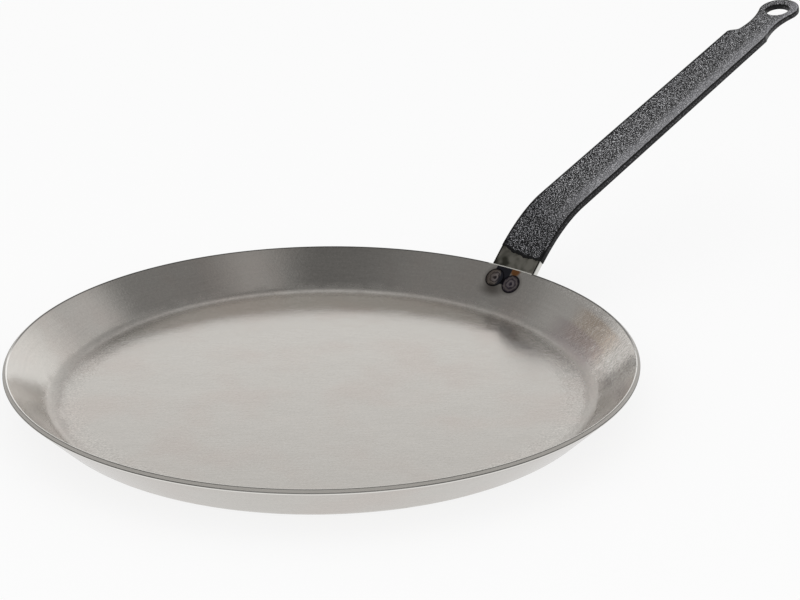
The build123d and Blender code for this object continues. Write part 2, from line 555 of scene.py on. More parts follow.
    def skin_edge(self, side: np.ndarray) -> np.ndarray:
        """Place along the blank of the skin's masked edge: a shallow arc with a ragged line on it.

        The line is three sine waves of about 9, 4 and 1.7 mm, each a height times the sine of the
        offset times a rate, from a start.

        Args:
            side: Distance to the left.

        Returns:
            Distances from the start of the bend.
        """
        sag = self.skin_edge_radius - np.sqrt(self.skin_edge_radius**2 - (side - self.skin_edge_side) ** 2)
        ragged = sum(height * np.sin(side * rate + start) for height, rate, start in self.skin_edge_waves)
        return self.skin_edge_height - self.bend_start + sag + ragged

    def low_end(self, hand: float, masked: bool) -> tuple[np.ndarray, np.ndarray]:
        """The blank's low end, from its middle to its side.

        Args:
            hand: 1 for the left side, -1 for the right side.
            masked: Whether it is the skin's masked edge and not the tang's end with its round corner.

        Returns:
            Outline points, and the point on the middle line from which they fan out.
        """
        half, corner = self.tang_width / 2, self.tang_corner
        if masked:
            widest = float(self.half_width(self.skin_edge(half * hand)))
            side = np.linspace(0.0, widest, self.masked_points)
            return np.stack([self.skin_edge(side * hand), side], axis=1), np.array([self.fan_place, 0.0])
        foot = -self.bend_start - self.tang_length
        turn = np.linspace(np.pi, np.pi / 2, self.corner_points)
        out = np.linspace(0.0, half - corner, self.end_points)[:-1]
        straight = np.stack([0.0 * out + foot, out], axis=1)
        middle = np.array([foot + corner, half - corner])
        arc = middle + corner * np.stack([np.cos(turn), np.sin(turn)], axis=1)
        return np.concatenate([straight, arc]), np.array([foot + half, 0.0])

    def eye_end(self, hole_reach: float) -> tuple[np.ndarray, np.ndarray, int]:
        """The neck past its flat start and the eye, along from the shoulders.

        The outline is the neck's curve and then the eye's circle. Its partners run on along the
        middle line to the hole and round it, and past the hole's shoulder each lies on the same ray
        from the hole's middle as its outline point.

        Args:
            hole_reach: Radius of the circle of partners round the hole.

        Returns:
            Outline points, their partners, and how many of the last partners are on the hole.
        """
        eye, hole = np.array([self.eye_reach, 0.0]), np.array([self.eye_reach - self.hole_setback, 0.0])
        touch = eye + (self.neck_middle - eye) * self.eye_radius / (self.neck_radius + self.eye_radius)
        to_touch = np.linspace(self.flatten_length, touch[0], self.neck_trace)
        first_turn = np.arctan2(touch[1], touch[0] - self.eye_reach)
        eye_turn = np.linspace(first_turn, 0.0, self.eye_trace)[1:]
        neck_line = np.stack([to_touch, self.neck_half_width(to_touch)], axis=1)
        eye_line = eye + self.eye_radius * np.stack([np.cos(eye_turn), np.sin(eye_turn)], axis=1)
        end_line = np.concatenate([neck_line, eye_line])
        angle = np.arctan2(end_line[:, 1], end_line[:, 0] - hole[0])
        ray = np.linspace(np.radians(self.first_ray), 0.0, self.ray_points)
        ray_outer = np.stack([np.interp(-ray, -angle, column) for column in end_line.T], axis=1)
        near = np.linspace(self.flatten_length, ray_outer[0, 0], self.near_points)[1:-1]
        near_outer = np.stack([near, self.neck_half_width(near)], axis=1)
        to_hole = np.linspace(self.flatten_length, hole[0] - hole_reach, self.to_hole_points)[1:-1]
        round_turn = np.linspace(np.pi, ray[0], self.hole_side_points)[:-1][: len(near) - len(to_hole)]
        turn = np.concatenate([round_turn, ray])
        on_hole = hole + hole_reach * np.stack([np.cos(turn), np.sin(turn)], axis=1)
        inner = np.concatenate([np.stack([to_hole, 0.0 * to_hole], axis=1), on_hole])
        return np.concatenate([near_outer, ray_outer]), inner, len(turn)

    def half_outline(self, hand: float, masked: bool) -> tuple[np.ndarray, np.ndarray, np.ndarray]:
        """One side of the blank, from the middle of its low end to the tip of the eye.

        Args:
            hand: 1 for the left side, -1 for the right side.
            masked: Whether the low end is the skin's masked edge and not the tang's end.

        Returns:
            Outline points, their partners, and whether each partner is on the hole.
        """
        low_end, fan = self.low_end(hand, masked)
        fan_along = np.linspace(low_end[-1, 0], fan[0], self.fan_points)[1:]
        bend_along = np.linspace(fan[0], self.bend_length, self.bend_points)[1:]
        run_along = np.linspace(self.bend_length, self.shoulder, self.run_points)[1:]
        strip_along = np.concatenate([fan_along, bend_along, run_along])
        strip_side = np.stack([strip_along, self.half_width(strip_along)], axis=1)
        neck_along = np.linspace(0.0, self.flatten_length, self.neck_points)[1:]
        neck_side = np.stack([self.shoulder + neck_along, self.neck_half_width(neck_along)], axis=1)
        ruled = np.concatenate([bend_along, run_along, self.shoulder + neck_along])
        eye_outer, eye_inner, hole_count = self.eye_end(self.hole_diameter / 2 + self.edge_ease)
        shift = np.array([self.shoulder, 0.0])
        outer = np.concatenate([low_end, strip_side, neck_side, shift + eye_outer])
        fans = np.broadcast_to(fan, (len(low_end) + len(fan_along), 2))
        inner = np.concatenate([fans, np.stack([ruled, 0.0 * ruled], axis=1), shift + eye_inner])
        at_hole = np.zeros(len(outer), dtype=bool)
        at_hole[-hole_count:] = True
        outer[-1, 1] = inner[-1, 1] = 0.0
        signs = np.array([1.0, hand])
        return outer * signs, inner * signs, at_hole

    def blank(self, masked: bool, grow: float) -> Blank:
        """Whole outline of the blank.

        Args:
            masked: Whether the low end is the skin's masked edge.
            grow: Thickness of skin round the strip, which widens the ease of its edges.

        Returns:
            The outline with its partners.
        """
        left, right = (self.half_outline(hand, masked) for hand in (1.0, -1.0))
        outer, inner, at_hole = (np.concatenate([a, b[-2:0:-1]]) for a, b in zip(left, right))
        ease = np.full(len(outer), self.edge_ease + grow)
        if masked:
            ease[: self.masked_points - 1] = self.skin
            ease[-(self.masked_points - 2) :] = self.skin
        return Blank(outer, inner, ease, at_hole)

    def normals(self, outline: np.ndarray) -> np.ndarray:
        """Outward unit normals of a closed outline, square to the mean direction to both neighbours.

        Args:
            outline: Points of the outline.

        Returns:
            One normal for each point.
        """
        ahead = np.roll(outline, -1, axis=0) - outline
        behind = outline - np.roll(outline, 1, axis=0)
        ahead /= np.linalg.norm(ahead, axis=1, keepdims=True)
        behind /= np.linalg.norm(behind, axis=1, keepdims=True)
        along = ahead + behind
        along /= np.linalg.norm(along, axis=1, keepdims=True)
        return np.stack([-along[:, 1], along[:, 0]], axis=1)

    def mesh(self, name: str, masked: bool, grow: float) -> bpy.types.Mesh:
        """Builds the strip or its skin as one closed surface.

        A row runs from the middle over the top face, round the eased edge, down the side, and
        back under it. Near a masked edge the top and bottom faces swell into a low bead, a bell
        curve of the distance to the edge that rises and falls a little along it.

        Args:
            name: Name of the mesh.
            masked: Whether the low end is the skin's masked edge.
            grow: Thickness of skin round the strip.

        Returns:
            The mesh. Its UV map holds the distance in from the outline, and the height above the
            strip's top face.
        """
        blank = self.blank(masked, grow)
        normal = self.normals(blank.outer)
        at_mask = masked & (blank.ease <= self.skin)[:, None]
        outer = blank.outer + normal * np.where(at_mask, 0.0, grow)
        share = 1.0 - (1.0 - np.linspace(0.0, 1.0, self.face_points)) ** self.face_crowding
        start = outer - normal * blank.ease[:, None]
        face = blank.inner[:, None] + (start - blank.inner)[:, None] * share[:, None]
        top = np.full(face.shape[:2], grow)
        bottom = np.full(face.shape[:2], -self.thickness - grow)
        if masked:
            gap = np.linalg.norm(face - outer[:, None], axis=2)
            bead = self.skin_bead * np.exp(-((gap / self.skin_bead_width) ** 2))
            swing = self.skin_bead_swing * np.sin(face[..., 1] * self.skin_bead_wave)
            bead *= at_mask * (1.0 - self.skin_bead_swing + swing)
            top, bottom = top + bead, bottom - bead
        turn = np.linspace(0.0, np.pi / 2, self.ease_points)[1:]
        arc = outer[:, None] - (normal * blank.ease[:, None])[:, None] * (1.0 - np.sin(turn))[:, None]
        drop = blank.ease[:, None] * (1.0 - np.cos(turn))
        plan = np.concatenate([face, arc, arc[:, ::-1], face[:, ::-1]], axis=1)
        side = [top[:, -1:] - drop, bottom[:, -1:] + drop[:, ::-1]]
        lift = np.concatenate([top, *side, bottom[:, ::-1]], axis=1)
        skin = self.place(plan[..., 0], plan[..., 1], lift)
        hole_plan, hole_lift = self.hole_wall(blank, grow)
        wall = self.place(hole_plan[..., 0], hole_plan[..., 1], hole_lift)
        inside = np.linalg.norm(plan - outer[:, None], axis=2)
        grids = [
            (points, grid_quads(*points.shape[:2], True, False), np.stack(surface, axis=2))
            for points, surface in ((skin, (inside, lift)), (wall, (0.0 * hole_lift, hole_lift)))
        ]
        return solid_mesh(name, grids, "edge")

    def hole_wall(self, blank: Blank, grow: float) -> tuple[np.ndarray, np.ndarray]:
        """Wall of the hanging hole with its eased edges, round the partners that lie on it.

        Args:
            blank: The blank.
            grow: Thickness of skin round the strip.

        Returns:
            Blank points, one row round each partner, and their heights above the top face.
        """
        middle = np.array([self.shoulder + self.eye_reach - self.hole_setback, 0.0])
        spoke = blank.inner[blank.at_hole] - middle
        spoke /= np.linalg.norm(spoke, axis=1, keepdims=True)
        radius = self.hole_diameter / 2 - grow
        full = self.edge_ease + grow
        turn = np.linspace(0.0, np.pi / 2, self.ease_points)
        back = full * (1.0 - np.sin(turn))
        reach = radius + np.concatenate([back, back[::-1]])
        drop = full * (1.0 - np.cos(turn))
        lift = np.concatenate([grow - drop, -self.thickness - grow + drop[::-1]])
        plan = middle + spoke[:, None] * reach[:, None]
        return plan, np.broadcast_to(lift, plan.shape[:2])


@dataclass
class SpotWeld:
    """The round marks of one spot weld: one in the wall's inner face, one on the tang's back."""

    dish: Dish
    handle: Handle
    side: float
    down: float
    mark_radius: float = 5.0
    ring_spacing: float = 1.9
    ring_height: float = 0.1
    stand: float = 0.06
    sink: float = 0.02
    fall_width: float = 0.6
    root: float = 0.35
    ring_points: int = 44
    segments: int = 96

    def disc(self) -> tuple[np.ndarray, np.ndarray, np.ndarray]:
        """A round mark as a closed lens: rings outward from its middle, then down and back to it.

        The face stands up by one cosine wave every ring spacing.

        Returns:
            Distance from the middle, turn, and height above the metal's face.
        """
        out = np.linspace(0.0, self.mark_radius, self.ring_points)
        radius = np.concatenate([out, [self.mark_radius, 0.0]])
        wave = 0.5 + 0.5 * np.cos(2 * np.pi * radius / self.ring_spacing)
        fall = eased((self.mark_radius - radius) / self.fall_width)
        lift = (self.stand + self.ring_height * wave) * fall - self.sink * (1.0 - fall)
        lift[-2:] = -self.root
        turn = np.linspace(0.0, 2 * np.pi, self.segments, endpoint=False)
        return radius[:, None], turn[None, :], lift[:, None] + 0 * turn[None, :]

    def mesh(self, name: str) -> bpy.types.Mesh:
        """Both marks, each laid on its own curved face.

        Args:
            name: Name of the mesh.

        Returns:
            The mesh. Its UV map holds the share of the mark's radius, and the turn.
        """
        radius, turn, lift = self.disc()
        across, up = radius * np.cos(turn), radius * np.sin(turn)
        inside = self.dish.wall_point(self.side + across, self.down - up, lift)
        spread = 1.0 + (self.dish.sheet + self.handle.thickness) / self.dish.rim_radius
        along = -self.handle.bend_start - self.down + up
        outside = self.handle.place(along, self.side * spread - across, -self.handle.thickness - lift)
        quads = grid_quads(*lift.shape, False, True)
        rings = np.stack([radius / self.mark_radius + 0 * turn, 0 * radius + turn], axis=2)
        return solid_mesh(name, [(inside, quads, rings), (outside, quads, rings)], "rings")


# Finishes


def new_finish(name: str) -> tuple[bpy.types.Material, AddNode, Any]:
    """Starts a material.

    Args:
        name: Name of the material.

    Returns:
        The material, the function that adds a node to it, and the place on the pan in millimetres.
    """
    material = bpy.data.materials.new(name)
    material.use_nodes = True
    material.node_tree.nodes.clear()
    node = partial(add_node, material.node_tree)
    coords = node("TexCoord").node.outputs["Object"]
    return material, node, node("VectorMath", coords, 1.0 / MM, operation="SCALE")


def painted(node: AddNode, colour: Any, coats: list[tuple[Any, str]]) -> Any:
    """Paints tones over a colour, one coat after the other.

    Args:
        node: Function that adds a node to the material.
        colour: Colour to start from.
        coats: Share from 0 to 1 that each coat covers, and its sRGB hex tone.

    Returns:
        The painted colour.
    """
    for share, tone in coats:
        colour = node("Mix", share, colour, linear_colour(tone), data_type="RGBA")
    return colour


def gap_to(node: AddNode, value: Any, spot: Any) -> Any:
    """Distance between a value and a spot on its scale: the size of their difference."""
    return node("Math", node("Math", value, spot, operation="SUBTRACT"), operation="ABSOLUTE")


def level_direction(heading: float) -> tuple[float, float, float]:
    """Level unit direction at a heading: its cosine, its sine and nought."""
    turn = np.radians(heading)
    return float(np.cos(turn)), float(np.sin(turn)), 0.0


@dataclass(frozen=True)
class Bloom:
    """One patch on the wall to the right of the handle: its heading, the angle at which it has
    faded, the ways down the wall between which it lies with the fade at each, and its strongest
    share."""

    heading: float
    reach: float
    shallow: float
    deep: float
    top: float
    shallow_fade: float = 1.5
    deep_fade: float = 3.0


@dataclass(frozen=True)
class DishPlace:
    """Where a point of the dish lies, as sockets of one material, and the function that adds nodes.

    Ahead and left are along X and Y. The way runs in from the rim's inner corner, the turn is round
    the axis, and the spoke points away from it. Facing is 1 at the front of the rim, -1 at its back.
    """

    node: AddNode
    mm: Any
    ahead: Any
    left: Any
    way: Any
    turn: Any
    radius: Any
    spoke: Any
    facing: Any


@dataclass(frozen=True)
class SandedSteel:
    """Raw carbon steel, pressed and then sanded.

    The eye sees a warm grey satin: short strokes across the floor, fine lines round the wall and an
    even speckle in both, faint warm clouds, painted shade in the crease where the wall meets the floor,
    a tan and violet bloom on the wall right of the handle with painted glints on its scratches and in a
    speckled patch, a dull sheared rim between painted highlights and painted shade lines at its eased
    corners, a painted highlight along the rim in front of the handle, and heat tints round the spot
    welds.
    """

    dish: Dish
    steel: str = "#CAC6C0"
    warm: str = "#C8BFB8"
    tan: str = "#BCA894"
    violet: str = "#A8999A"
    # Painted shade in the crease where the wall meets the floor
    crease_shade: str = "#A8A39E"
    sheared: str = "#D8D5D0"
    # Painted shade lines at the rim's corners
    rim_shade_line: str = "#3A3A3A"
    # Tone of the painted highlights: the rim's corners, the rim in front of the handle, and glints on the
    # wall
    painted_highlight: str = "#F2F0EB"
    blued: str = "#3A3A40"
    outline: str = "#161418"
    scorch: str = "#94602F"
    smoke: str = "#5F5852"

    # Roughness of the sanding, the rim's face, the painted highlight in front of the handle and the bend
    roughness: Fade = (0.1, 0.18)
    rim_roughness: float = 0.8
    painted_highlight_roughness: float = 0.75
    bend_roughness: float = 0.34

    # Sanding: strokes on the floor, lines round the wall and a speckle, about 0.7 to 1.3 mm wide.
    # Real sanding is finer, and is drawn this coarse so that it shows in a picture of the whole pan.
    foot_fade: float = 9.0
    stroke_heading: float = -49.89
    stroke_width: float = 0.7
    stroke_length: float = 6.0
    stroke_depth: float = 4.0
    line_width: float = 0.8
    line_turns: float = 9.0
    speckle: float = 1.3
    speckle_roughness: float = 0.7
    speckle_share: float = 0.6
    contrast: Fade = (0.3, 0.7)
    texture_shade: Fade = (0.93, 1.06)

    # Broad waves and warm clouds, and the depth of each relief
    wave: float = 24.0
    cloud: float = 38.0
    cloud_fade: Fade = (0.42, 0.7, 0.0, 0.6)
    relief: float = 0.045
    ring_relief: float = 0.12
    wave_relief: float = 0.12
    scratch_relief: float = 0.05

    # Coarse grit and crossed scratches, drawn wider than the real ones so that they show. The scratches
    # are also painted with glints in the highlight tone.
    grit: float = 0.9
    grit_shade: Fade = (0.02, 0.13)
    glint: float = 0.4
    scratch_leans: tuple[float, float] = (52.0, 118.0)
    scratch_length: float = 6.0
    scratch_width: float = 0.45
    scratch_fade: Fade = (0.56, 0.66)

    # Rings where the wall bends up. The first is painted shade in the crease where the wall meets the
    # floor, faded out towards the front.
    crease_shade_ring: Ring = (124.5, 0.5, 5.5)
    coarse_ring: Ring = (121.5, 4.0, 11.0)
    bend_ring: Ring = (128.0, 1.5, 6.0)
    ring_noise: float = 6.25
    ring_noise_range: Fade = (0.2, 0.8)
    ring_shift: float = 2.0
    crease_shade_fade: Fade = (0.45, -0.6, 0.0, 0.55)

    # Rim: its front, its sheared face, a painted highlight and a painted shade line at each corner, and
    # the painted highlight along the rim in front of the handle
    front_heading: float = -139.89
    face_fade: float = 0.2
    corner_line: Ring = (0.8, 0.2, 0.55)
    inner_line: Ring = (0.2, 0.12, 0.32)
    front_fade: Fade = (-0.1, 0.08)
    back_line_share: float = 0.75
    inner_line_share: Fade = (0.0, 0.1, 0.4, 0.8)
    painted_highlight_half_width: float = 14.2
    painted_highlight_fade: Fade = (0.75, 0.5)

    # Welds: the marks' offsets to the left and ways down, and the tints round them
    marks: tuple[tuple[float, float], ...] = ((6.5, 7.7), (-4.8, 9.1))
    mark_radius: float = SpotWeld.mark_radius
    mark_join: float = 3.2
    neck_box: Patch = ((3.3, 5.3), (4.8, 5.2))
    scorch_oval: Patch = ((-4.0, 1.6), (3.9, 3.6))
    smoke_oval: Patch = ((4.5, 14.5), (11.0, 6.0))
    neck_fade: Fade = (1.06, 0.98)
    blued_fade: Fade = (0.35, -0.05)
    smoke_fade: Fade = (1.0, 0.1, 0.0, 0.75)
    halo_fade: Fade = (2.6, 0.2, 0.0, 0.4)
    scorch_fade: Fade = (1.0, 0.5, 0.0, 0.95)
    outline_fade: Fade = (0.6, 0.2, 0.0, 0.9)
    tint_fade: Fade = (-0.1, 0.3)

    # Blooms on the wall: tan and violet tints, the patch of scratches, and a patch of painted glints
    tan_bloom: Bloom = Bloom(heading=-33.0, reach=12.0, shallow=5.0, deep=22.0, top=0.6)
    violet_bloom: Bloom = Bloom(heading=-30.0, reach=14.0, shallow=15.0, deep=28.0, top=0.55)
    scratch_bloom: Bloom = Bloom(heading=-44.0, reach=26.0, shallow=0.0, deep=26.0, top=1.0)
    glint_bloom: Bloom = Bloom(heading=-22.0, reach=18.0, shallow=-2.0, deep=3.5, top=0.5)
    glint_fade: Fade = (-0.2, 0.7)

    def material(self) -> bpy.types.Material:
        """Builds the material.

        Returns:
            The material.
        """
        material, node, mm = new_finish("sanded_raw_carbon_steel")
        at = self.place(node, mm)
        texture = self.sanding(at)
        coarse = self.ring(at, self.coarse_ring)
        scratches = self.cross_scratches(at)
        rim = self.rim_marks(at)
        looks = {
            "Base Color": self.colour(at, texture, coarse, scratches, rim),
            "Metallic": 1.0,
            "Roughness": self.dullness(at, texture, rim),
            "Normal": self.bumps(at, texture, coarse, scratches),
        }
        node("OutputMaterial", node("BsdfPrincipled", named=looks))
        return material

    def place(self, node: AddNode, mm: Any) -> DishPlace:
        """Works out where a point of the dish lies.

        Args:
            node: Function that adds a node to the material.
            mm: Place in millimetres.

        Returns:
            The place.
        """
        ahead, left, _ = node("SeparateXYZ", mm).node.outputs
        way, turn, _ = node("SeparateXYZ", node("UVMap", uv_map="way_in")).node.outputs
        level = node("VectorMath", mm, (1.0, 1.0, 0.0), operation="MULTIPLY")
        radius = node("VectorMath", level, operation="LENGTH")
        spoke = node("VectorMath", level, operation="NORMALIZE")
        facing = node("VectorMath", spoke, level_direction(self.front_heading), operation="DOT_PRODUCT")
        return DishPlace(node, mm, ahead, left, way, turn, radius, spoke, facing)

    def colour(self, at: DishPlace, texture: Any, coarse: Any, scratches: Any, rim: list[Any]) -> Any:
        """Colour of the steel: clouds and the painted shade of the crease ring, shaded by the sanding,
        under all the marks, among them painted glints, painted highlights and painted shade lines.

        Args:
            at: Where the point lies.
            texture: Value of the sanding marks.
            coarse: Share of the coarsely sanded ring.
            scratches: Height of the scratches.
            rim: Shares of the rim's marks.

        Returns:
            The colour.
        """
        node = at.node
        clouds = node("TexNoise", at.mm, 1.0 / self.cloud, 3.0)
        cloudy = node("MapRange", clouds, *self.cloud_fade, **SMOOTH)
        # Painted shade in the crease where the wall meets the floor, weaker towards the front
        off_front = node("MapRange", at.facing, *self.crease_shade_fade)
        crease_shade = node("Math", self.ring(at, self.crease_shade_ring), off_front, operation="MULTIPLY")
        grit = node("TexNoise", at.mm, 1.0 / self.grit, 1.0)
        grit = node("MapRange", grit, *self.contrast, -1.0, 1.0)
        gritty = node("MapRange", coarse, 0.0, 1.0, *self.grit_shade)
        shade = node("MapRange", texture, *self.contrast, *self.texture_shade)
        shade = node("Math", grit, gritty, shade, operation="MULTIPLY_ADD")
        colour = painted(node, linear_colour(self.steel), [(cloudy, self.warm), (crease_shade, self.crease_shade)])
        colour = node("VectorMath", colour, shade, operation="SCALE")
        # Painted glints on the scratches and in a speckled patch, in the highlight tone
        glints = node("MapRange", grit, *self.glint_fade)
        face, bright, dark, painted_highlight = rim
        coats = [
            (self.bloom(at, self.tan_bloom), self.tan),
            (self.bloom(at, self.violet_bloom), self.violet),
            (node("Math", scratches, self.glint, operation="MULTIPLY"), self.painted_highlight),
            (node("Math", self.bloom(at, self.glint_bloom), glints, operation="MULTIPLY"), self.painted_highlight),
            *self.weld_tints(at),
            (face, self.sheared),
            (bright, self.painted_highlight),
            (dark, self.rim_shade_line),
            (painted_highlight, self.painted_highlight),
        ]
        return painted(node, colour, coats)

    def dullness(self, at: DishPlace, texture: Any, rim: list[Any]) -> Any:
        """Roughness: the sanding's, and one level each on the bend, the rim's face and the painted
        highlight in front of the handle.

        Args:
            at: Where the point lies.
            texture: Value of the sanding marks.
            rim: Shares of the rim's marks.

        Returns:
            The roughness.
        """
        rough = at.node("MapRange", texture, *self.contrast, *self.roughness)
        face, _, _, painted_highlight = rim
        bend = self.ring(at, self.bend_ring)
        levels = ((bend, self.bend_roughness), (face, self.rim_roughness), (painted_highlight, self.painted_highlight_roughness))
        for share, level in levels:
            rough = at.node("Mix", share, rough, level)
        return rough

    def bumps(self, at: DishPlace, texture: Any, coarse: Any, scratches: Any) -> Any:
        """Relief: broad waves, then the sanding marks, deeper in the coarse ring, then the scratches.

        Args:
            at: Where the point lies.
            texture: Value of the sanding marks.
            coarse: Share of the coarsely sanded ring.
            scratches: Height of the scratches.

        Returns:
            The normal.
        """
        waves = at.node("TexNoise", at.mm, 1.0 / self.wave, 2.0)
        swing = at.node("Math", texture, 0.5, operation="SUBTRACT")
        gain = at.node("MapRange", coarse, 0.0, 1.0, 1.0, self.ring_relief / self.relief)
        sanded = at.node("Math", swing, gain, operation="MULTIPLY")
        heights = (waves, sanded, scratches)
        below: dict[str, Any] = {}
        for height, relief in zip(heights, (self.wave_relief, self.relief, self.scratch_relief)):
            below["Normal"] = at.node("Bump", named={"Distance": relief * MM, "Height": height, **below})
        return below["Normal"]

    def ring(self, at: DishPlace, ring: Ring) -> Any:
        """Share of a ragged ring round the axis: full up to one distance from its middle radius, none
        past another, with the radius shifted a little by noise.

        Args:
            at: Where the point lies.
            ring: The ring's middle radius, the distance up to which it is full, and where it ends.

        Returns:
            The share.
        """
        middle, core, edge = ring
        noise = at.node("TexNoise", at.mm, 1.0 / self.ring_noise, 4.0)
        shifted = (middle - self.ring_shift, middle + self.ring_shift)
        ragged = at.node("MapRange", noise, *self.ring_noise_range, *shifted)
        return at.node("MapRange", gap_to(at.node, at.radius, ragged), edge, core, **SMOOTH)

    def sanding(self, at: DishPlace) -> Any:
        """The sanding marks: noise drawn out along the strokes on the floor and round the wall, with
        an even speckle through both.

        Args:
            at: Where the point lies.

        Returns:
            A value round 0.5.
        """
        node = at.node
        foot = self.dish.rim_radius - self.dish.height
        on_wall = node("MapRange", at.radius, foot - self.foot_fade, foot, **SMOOTH)
        fine = node("Math", at.way, self.line_width, operation="DIVIDE")
        spread = node("VectorMath", at.spoke, self.line_turns, operation="SCALE")
        lines = node("VectorMath", node("CombineXYZ", 0.0, 0.0, fine), spread, operation="ADD")
        stroke = {
            "Rotation": (0.0, 0.0, float(np.radians(self.stroke_heading))),
            "Scale": (self.stroke_length, self.stroke_width, self.stroke_depth),
        }
        strokes = node("Mapping", at.mm, named=stroke, vector_type="TEXTURE")
        on_floor, round_wall = (node("TexNoise", drawn_out, 1.0, 3.0) for drawn_out in (strokes, lines))
        even = node("TexNoise", at.mm, 1.0 / self.speckle, named={"Roughness": self.speckle_roughness})
        return node("Mix", self.speckle_share, node("Mix", on_wall, on_floor, round_wall), even)

    def bloom(self, at: DishPlace, bloom: Bloom) -> Any:
        """Share of one bloom. It fades with the angle from its heading, and over some millimetres
        up and down the wall.

        Args:
            at: Where the point lies.
            bloom: The bloom.

        Returns:
            The share.
        """
        facing = at.node("VectorMath", at.spoke, level_direction(bloom.heading), operation="DOT_PRODUCT")
        edge, core = (float(np.cos(np.radians(angle))) for angle in (bloom.reach, bloom.reach / 4))
        share = at.node("MapRange", facing, edge, core, 0.0, bloom.top, **SMOOTH)
        for spot, fade in ((bloom.shallow, bloom.shallow_fade), (bloom.deep, -bloom.deep_fade)):
            within = at.node("MapRange", at.way, spot - fade, spot + fade, **SMOOTH)
            share = at.node("Math", share, within, operation="MULTIPLY")
        return share

    def cross_scratches(self, at: DishPlace) -> Any:
        """Fine scratches that cross the wall both ways, within their bloom.

        Args:
            at: Where the point lies.

        Returns:
            Their height from 0 to 1.
        """
        node = at.node
        arc = node("Math", at.turn, self.dish.rim_radius, operation="MULTIPLY")
        unrolled = node("CombineXYZ", arc, at.way)
        height: Any = 0.0
        for lean in self.scratch_leans:
            scratch = {
                "Rotation": (0.0, 0.0, float(np.radians(lean))),
                "Scale": (self.scratch_length, self.scratch_width, 1.0),
            }
            drawn_out = node("Mapping", unrolled, named=scratch, vector_type="TEXTURE")
            cut_and_highlight = node("MapRange", node("TexNoise", drawn_out, 1.0, 1.0), *self.scratch_fade)
            height = node("Math", height, cut_and_highlight, operation="MAXIMUM")
        return node("Math", height, self.bloom(at, self.scratch_bloom), operation="MULTIPLY")

    def rim_marks(self, at: DishPlace) -> list[Any]:
        """Shares of the rim's sheared face, of the painted highlight round each of its two corners, of the
        painted shade line inside each, and of the painted highlight along the rim in front of the handle.

        The first three follow from the distance to the face's middle line. Round the back the inner
        corner gets painted shade and no painted highlight.

        Args:
            at: Where the point lies.

        Returns:
            The four shares.
        """
        node = at.node
        half = self.dish.sheet / 2 - self.dish.rim_ease
        outward = node("Math", at.way, -1.0, -self.dish.rim_face_middle, operation="MULTIPLY_ADD")
        away = node("Math", outward, operation="ABSOLUTE")
        face = node("MapRange", away, half + self.face_fade, half)
        corner, inner = (
            node("MapRange", gap_to(node, away, half + spot), edge, core)
            for spot, core, edge in (self.corner_line, self.inner_line)
        )
        # Painted highlight on the corners at the front and on the outer corner, painted shade on the inner
        # corner round the back
        on_outside = node("Math", outward, 0.0, operation="GREATER_THAN")
        shining = node("MapRange", at.facing, *self.front_fade)
        shining = node("Math", shining, on_outside, operation="MAXIMUM")
        bright = node("Math", corner, shining, operation="MULTIPLY")
        sheen_and_shade = node("Math", corner, bright, operation="SUBTRACT")
        sheen_and_shade = node("Math", sheen_and_shade, self.back_line_share, operation="MULTIPLY")
        depth = node("MapRange", outward, *self.inner_line_share)
        dark = node("Math", inner, depth, operation="MULTIPLY")
        dark = node("Math", dark, sheen_and_shade, operation="MAXIMUM")
        # Painted highlight along the rim in front of the handle
        side = node("Math", at.left, operation="ABSOLUTE")
        beside = node("Math", side, self.painted_highlight_half_width, operation="LESS_THAN")
        in_front = node("Math", at.ahead, 0.0, operation="GREATER_THAN")
        painted_highlight = node("MapRange", node("Math", at.way, operation="ABSOLUTE"), *self.painted_highlight_fade)
        for share in (beside, in_front):
            painted_highlight = node("Math", painted_highlight, share, operation="MULTIPLY")
        return [face, bright, dark, painted_highlight]

    def weld_tints(self, at: DishPlace) -> list[tuple[Any, str]]:
        """Coats for the blued metal round both welds, its dark outline, a scorched spot and the smoke
        below. Each is an even shape on the wall: offset to the left, and way down from the rim.

        Args:
            at: Where the point lies.

        Returns:
            Share and tone of each coat.
        """
        node = at.node
        spot = node("CombineXYZ", at.left, at.way)
        gaps = (node("VectorMath", spot, (*mark, 0.0), operation="DISTANCE") for mark in self.marks)
        joined = node("Math", *gaps, self.mark_join, operation="SMOOTH_MIN")
        ring = node("Math", joined, self.mark_radius, operation="SUBTRACT")

        # Boxes and ovals by their middle and half sizes: distance from the middle over the half size.
        far = []
        for middle, half in (self.neck_box, self.scorch_oval, self.smoke_oval):
            away = node("VectorMath", spot, (*middle, 0.0), operation="SUBTRACT")
            far.append(node("VectorMath", away, (1 / half[0], 1 / half[1], 0.0), operation="MULTIPLY"))
        neck, *ovals = far
        across, down, _ = node("SeparateXYZ", node("VectorMath", neck, operation="ABSOLUTE")).node.outputs
        in_neck = node("Math", across, down, operation="MAXIMUM")
        in_scorch, in_smoke = (node("VectorMath", oval, operation="LENGTH") for oval in ovals)
        blued_neck = node("MapRange", in_neck, *self.neck_fade)
        blued_ring = node("MapRange", ring, *self.blued_fade)
        blued = node("Math", blued_neck, blued_ring, operation="MAXIMUM")
        off_outline = node("Math", ring, operation="ABSOLUTE")
        in_front = node("Math", at.ahead, 0.0, operation="GREATER_THAN")
        inside = node("MapRange", at.way, *self.tint_fade)
        here = node("Math", in_front, inside, operation="MULTIPLY")
        coats = (
            (node("MapRange", in_smoke, *self.smoke_fade, **SMOOTH), self.smoke),
            (node("MapRange", ring, *self.halo_fade, **SMOOTH), self.smoke),
            (node("MapRange", in_scorch, *self.scorch_fade, **SMOOTH), self.scorch),
            (blued, self.blued),
            (node("MapRange", off_outline, *self.outline_fade), self.outline),
        )
        return [(node("Math", share, here, operation="MULTIPLY"), tone) for share, tone in coats]


